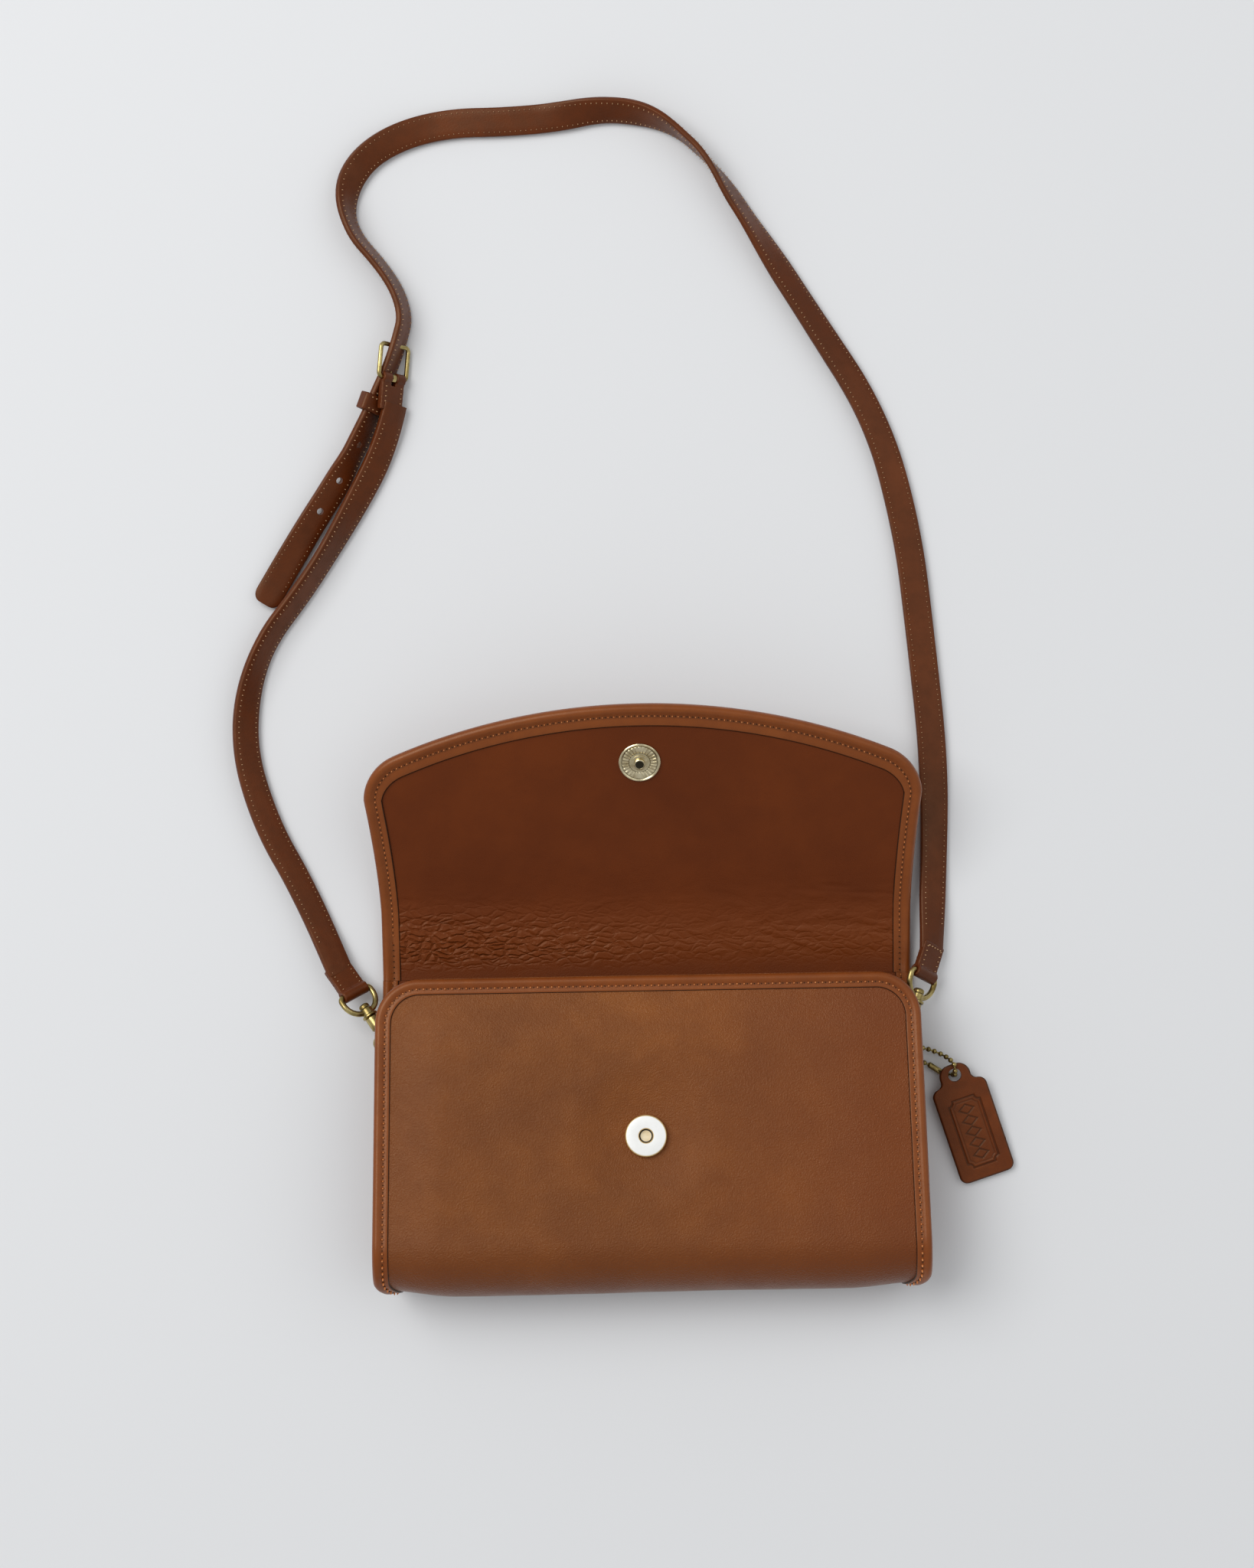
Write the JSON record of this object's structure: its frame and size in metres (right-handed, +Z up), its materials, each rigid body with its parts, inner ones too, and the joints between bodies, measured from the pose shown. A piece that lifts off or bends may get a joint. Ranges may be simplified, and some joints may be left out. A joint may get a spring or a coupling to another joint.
{
  "type": "crossbody purse",
  "caption": "Small brown leather flap purse lying open on its back, with a magnetic snap, clip-on crossbody strap, buckle and a hang tag on a ball chain.",
  "frame": {"origin": "middle of the back panel's outer face, where the purse rests", "axes": "+X to the side with the hang tag, +Y from the bottom of the purse towards the flap and the strap, +Z up, out of the front panel"},
  "size_m": [0.3427, 0.5237, 0.0522],
  "materials": {
    "front_leather": "pebbled, semi-matt",
    "lining_leather": "smooth, creased",
    "binding_leather": "smooth, polished",
    "strap_leather": "smooth, waxed",
    "tag_leather": "smooth, embossed border",
    "brass": "polished, a little worn",
    "snap_steel": "bright plated",
    "magnet_ferrite": "dark ferrite"
  },
  "bodies": {
    "bag": {"front_panel": "front_leather", "front_binding": "binding_leather", "back_panel": "front_leather", "back_lining": "lining_leather", "back_binding_right": "binding_leather", "back_binding_left": "binding_leather", "gusset_right": "front_leather", "gusset_left": "front_leather", "ring_tab_right": "binding_leather", "ring_tab_left": "binding_leather", "socket_case": "snap_steel", "socket_magnet": "magnet_ferrite", "socket_base": "brass", "socket_core": "brass", "socket_washer": "snap_steel", "strap_eye_right": "brass", "strap_eye_left": "brass", "strap_loop_right": "strap_leather", "strap_loop_left": "strap_leather", "strap_long": "strap_leather", "strap_tail": "strap_leather", "strap_short": "strap_leather", "strap_fold": "strap_leather", "strap_keeper": "strap_leather", "buckle_frame": "brass"},
    "flap_top": {"strip_leather": "front_leather", "strip_lining": "lining_leather", "strip_binding_right": "binding_leather", "strip_binding_left": "binding_leather"},
    "flap_front": {"flap_leather": "front_leather", "flap_lining": "lining_leather", "flap_binding": "binding_leather", "stud_plate": "brass", "stud_post": "brass", "stud_washer": "snap_steel"},
    "ring_right": {"d_ring_right": "brass"},
    "ring_left": {"d_ring_left": "brass"},
    "hook_right": {"hook_body_right": "brass", "hook_rivet_right": "brass", "gate_pin_right": "brass"},
    "hook_left": {"hook_body_left": "brass", "hook_rivet_left": "brass", "gate_pin_left": "brass"},
    "gate_right": {"hook_gate_right": "brass"},
    "gate_left": {"hook_gate_left": "brass"},
    "prong": {"buckle_prong": "brass"},
    "chain": {"tag_chain": "brass", "chain_coupling": "brass"},
    "tag": {"hang_tag": "tag_leather"}
  },
  "joints": [
    {"name": "flap_fold_back", "type": "hinge", "parent": "bag", "child": "flap_top", "pos_m": [0, 0.0705, 0.0032], "axis": [1, 0, 0], "range_deg": [0, 82]},
    {"name": "flap_fold_front", "type": "hinge", "parent": "flap_top", "child": "flap_front", "pos_m": [0, 0.09683, 0.0069], "axis": [1, 0, 0], "range_deg": [0, 63.6]},
    {"name": "ring_swing_right", "type": "hinge", "parent": "bag", "child": "ring_right", "pos_m": [0.10779, 0.0295, 0.01669], "axis": [0, 0, 1], "range_deg": [-4, 8]},
    {"name": "ring_swing_left", "type": "hinge", "parent": "bag", "child": "ring_left", "pos_m": [-0.10779, 0.0295, 0.01669], "axis": [0, 0, 1], "range_deg": [-8, 8]},
    {"name": "hook_swivel_right", "type": "hinge", "parent": "bag", "child": "hook_right", "pos_m": [0.11234, 0.03738, 0.01669], "axis": [0.3253, 0.9185, -0.225], "range_deg": [-15, 15]},
    {"name": "hook_swivel_left", "type": "hinge", "parent": "bag", "child": "hook_left", "pos_m": [-0.11234, 0.03738, 0.01669], "axis": [-0.5589, 0.7982, -0.225], "range_deg": [-15, 15]},
    {"name": "gate_right", "type": "hinge", "parent": "hook_right", "child": "gate_right", "pos_m": [0.11168, 0.0463, 0.0148], "axis": [0.0751, 0.212, 0.9744], "range_deg": [0, 22], "stiffness_Nm_per_rad": 0.01, "springref_deg": -17.19},
    {"name": "gate_left", "type": "hinge", "parent": "hook_left", "child": "gate_left", "pos_m": [-0.11408, 0.04615, 0.0148], "axis": [0.129, -0.1843, -0.9744], "range_deg": [0, 22], "stiffness_Nm_per_rad": 0.01, "springref_deg": -17.19},
    {"name": "prong_lift", "type": "hinge", "parent": "bag", "child": "prong", "pos_m": [-0.10796, 0.33234, 0.00784], "axis": [-0.6655, 0.0699, 0.7431], "range_deg": [0, 30]},
    {"name": "chain_swing", "type": "hinge", "parent": "ring_right", "child": "chain", "pos_m": [0.10994, 0.03322, 0.00997], "axis": [0, 0, 1], "range_deg": [-3, 14]},
    {"name": "tag_swing", "type": "hinge", "parent": "chain", "child": "tag", "pos_m": [0.1354, 0.0202, 0.0032], "axis": [0, 0, 1], "range_deg": [-6, 35]}
  ],
  "couplings": [
    {"joint": "flap_fold_front", "follows": "flap_fold_back", "ratio": 0.77496}
  ]
}
